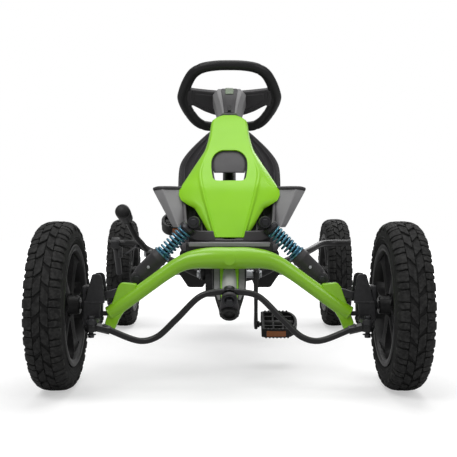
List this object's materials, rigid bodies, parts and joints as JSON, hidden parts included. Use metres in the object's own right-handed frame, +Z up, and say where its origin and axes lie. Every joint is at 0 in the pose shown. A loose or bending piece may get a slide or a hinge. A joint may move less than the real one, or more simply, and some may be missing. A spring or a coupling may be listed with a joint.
{
  "type": "pedal go kart",
  "caption": "Pedal go kart with a sprung swinging front axle, linked steering, chain drive, sliding bucket seat and hand brake.",
  "frame": {"origin": "on the ground under the middle of the wheelbase, on the centre plane", "axes": "-Y is the front of the kart, +X is its left-hand side, +Z is up"},
  "size_m": [0.805, 1.36, 0.7934],
  "materials": {
    "lime_shell": "glossy moulded plastic",
    "axle_green": "gloss powder coat",
    "frame_black": "satin powder coat",
    "dark_plastic": "fine grained",
    "grey_plastic": "fine grained",
    "seat_plastic": "grained",
    "rim_plastic": "satin",
    "tyre_rubber": "matt rubber",
    "grip_rubber": "soft satin rubber",
    "steel": "zinc plated",
    "spring_blue": "metallic enamel",
    "cast_grey": "dark satin coat"
  },
  "bodies": {
    "chassis": {"main_frame": "frame_black", "column_tube": "frame_black", "column_bush_upper": "rim_plastic", "column_bush_lower": "rim_plastic", "axle_pivot_nut": "steel", "bonnet": "lime_shell", "scoop": "dark_plastic", "shroud": "dark_plastic", "fin_left": "grey_plastic", "fin_right": "grey_plastic", "nose_cover": "grey_plastic", "guard_bar_left": "frame_black", "guard_bar_right": "frame_black", "chain_guard": "dark_plastic", "chain": "steel"},
    "seat": {"seat_shell": "seat_plastic", "seat_carriage": "frame_black", "seat_knob": "rim_plastic"},
    "steering": {"steering_rim": "grip_rubber", "steering_spokes": "dark_plastic", "steering_hub": "dark_plastic", "steering_shaft": "steel", "pitman_arm": "cast_grey", "pitman_bush": "grip_rubber"},
    "front_axle": {"front_axle": "axle_green", "kingpin_left": "steel", "kingpin_right": "steel"},
    "tie_rod": {"tie_rod": "frame_black", "tie_rod_nut": "steel"},
    "knuckle_left": {"knuckle_left": "cast_grey", "hub_nut_left": "steel"},
    "knuckle_right": {"knuckle_right": "cast_grey", "hub_nut_right": "steel"},
    "front_wheel_left": {"tyre_front_left": "tyre_rubber", "rim_front_left": "rim_plastic"},
    "front_wheel_right": {"tyre_front_right": "tyre_rubber", "rim_front_right": "rim_plastic"},
    "shock_upper_left": {"shock_rod_left": "steel", "spring_left": "spring_blue"},
    "shock_upper_right": {"shock_rod_right": "steel", "spring_right": "spring_blue"},
    "shock_lower_left": {"shock_tube_left": "cast_grey"},
    "shock_lower_right": {"shock_tube_right": "cast_grey"},
    "rear_axle": {"rear_axle_shaft": "steel", "rear_sprocket": "steel", "tyre_rear_left": "tyre_rubber", "rim_rear_left": "rim_plastic"},
    "rear_wheel_right": {"tyre_rear_right": "tyre_rubber", "rim_rear_right": "rim_plastic"},
    "crank": {"crank_spindle": "steel", "chainring": "steel", "crank_arm_left": "cast_grey", "crank_arm_right": "cast_grey"},
    "pedal_left": {"pedal_left": "dark_plastic"},
    "pedal_right": {"pedal_right": "dark_plastic"},
    "brake_lever": {"brake_lever": "frame_black", "brake_grip": "grip_rubber"},
    "brake_rod": {"brake_rod": "steel"},
    "brake_shoe": {"brake_shoe": "cast_grey"}
  },
  "joints": [
    {"name": "seat_slide", "type": "slide", "parent": "chassis", "child": "seat", "axis": [0, 1, 0], "range_m": [-0.05, 0.05]},
    {"name": "steering", "type": "hinge", "parent": "chassis", "child": "steering", "pos_m": [0, 0.025, 0.702], "axis": [0, 0.7349, 0.6782], "range_deg": [-28, 28], "deforming": ["pitman_bush"]},
    {"name": "axle_swing", "type": "hinge", "parent": "chassis", "child": "front_axle", "pos_m": [0, -0.5, 0.279], "axis": [0, 1, 0], "range_deg": [-3.5, 3.5], "stiffness_Nm_per_rad": 900, "deforming": ["spring_left", "spring_right"]},
    {"name": "tie_rod_slide", "type": "slide", "parent": "front_axle", "child": "tie_rod", "axis": [1, 0, 0], "range_m": [-0.021, 0.021]},
    {"name": "kingpin_left_turn", "type": "hinge", "parent": "front_axle", "child": "knuckle_left", "pos_m": [0.285, -0.5, 0.185], "axis": [0, 0, 1], "range_deg": [-18.5, 18.5]},
    {"name": "front_wheel_left_spin", "type": "hinge", "parent": "knuckle_left", "child": "front_wheel_left", "pos_m": [0.365, -0.5, 0.18], "axis": [1, 0, 0], "continuous": true},
    {"name": "shock_left_swing", "type": "hinge", "parent": "chassis", "child": "shock_upper_left", "pos_m": [0.078, -0.45, 0.357], "axis": [0, 1, 0], "range_deg": [-3.7, 3.7]},
    {"name": "shock_left_stroke", "type": "slide", "parent": "shock_upper_left", "child": "shock_lower_left", "axis": [0.71, 0, -0.7042], "range_m": [-0.0075, 0.0075]},
    {"name": "kingpin_right_turn", "type": "hinge", "parent": "front_axle", "child": "knuckle_right", "pos_m": [-0.285, -0.5, 0.185], "axis": [0, 0, 1], "range_deg": [-18.5, 18.5]},
    {"name": "front_wheel_right_spin", "type": "hinge", "parent": "knuckle_right", "child": "front_wheel_right", "pos_m": [-0.365, -0.5, 0.18], "axis": [1, 0, 0], "continuous": true},
    {"name": "shock_right_swing", "type": "hinge", "parent": "chassis", "child": "shock_upper_right", "pos_m": [-0.078, -0.45, 0.357], "axis": [0, 1, 0], "range_deg": [-3.7, 3.7]},
    {"name": "shock_right_stroke", "type": "slide", "parent": "shock_upper_right", "child": "shock_lower_right", "axis": [-0.71, 0, -0.7042], "range_m": [-0.0075, 0.0075]},
    {"name": "rear_axle_spin", "type": "hinge", "parent": "chassis", "child": "rear_axle", "pos_m": [0, 0.5, 0.18], "axis": [1, 0, 0], "continuous": true},
    {"name": "rear_wheel_right_spin", "type": "hinge", "parent": "chassis", "child": "rear_wheel_right", "pos_m": [-0.355, 0.5, 0.18], "axis": [1, 0, 0], "continuous": true},
    {"name": "crank_spin", "type": "hinge", "parent": "chassis", "child": "crank", "pos_m": [0, -0.225, 0.227], "axis": [1, 0, 0], "continuous": true},
    {"name": "pedal_left_spin", "type": "hinge", "parent": "crank", "child": "pedal_left", "pos_m": [0.12, -0.225, 0.102], "axis": [1, 0, 0], "continuous": true},
    {"name": "pedal_right_spin", "type": "hinge", "parent": "crank", "child": "pedal_right", "pos_m": [-0.12, -0.225, 0.352], "axis": [1, 0, 0], "continuous": true},
    {"name": "brake_pull", "type": "hinge", "parent": "chassis", "child": "brake_lever", "pos_m": [-0.228, 0.068, 0.262], "axis": [-1, 0, 0], "range_deg": [0, 18]},
    {"name": "brake_rod_push", "type": "slide", "parent": "chassis", "child": "brake_rod", "axis": [-0.3526, 0.9167, -0.188], "range_m": [0, 0.0075]},
    {"name": "brake_shoe_turn", "type": "hinge", "parent": "chassis", "child": "brake_shoe", "pos_m": [-0.345, 0.225, 0.288], "axis": [1, 0, 0], "range_deg": [0, 11.2]}
  ],
  "couplings": [
    {"joint": "tie_rod_slide", "follows": "steering", "m_per_rad": 0.042},
    {"joint": "kingpin_left_turn", "follows": "steering", "ratio": 0.63227},
    {"joint": "shock_left_swing", "follows": "axle_swing", "ratio": 1.0026},
    {"joint": "shock_left_stroke", "follows": "axle_swing", "m_per_rad": 0.11031},
    {"joint": "kingpin_right_turn", "follows": "steering", "ratio": 0.63227},
    {"joint": "shock_right_swing", "follows": "axle_swing", "ratio": 1.0026},
    {"joint": "shock_right_stroke", "follows": "axle_swing", "m_per_rad": -0.11031},
    {"joint": "crank_spin", "follows": "rear_axle_spin", "ratio": 0.63636},
    {"joint": "brake_rod_push", "follows": "brake_pull", "m_per_rad": 0.0224},
    {"joint": "brake_shoe_turn", "follows": "brake_pull", "ratio": 0.611}
  ]
}
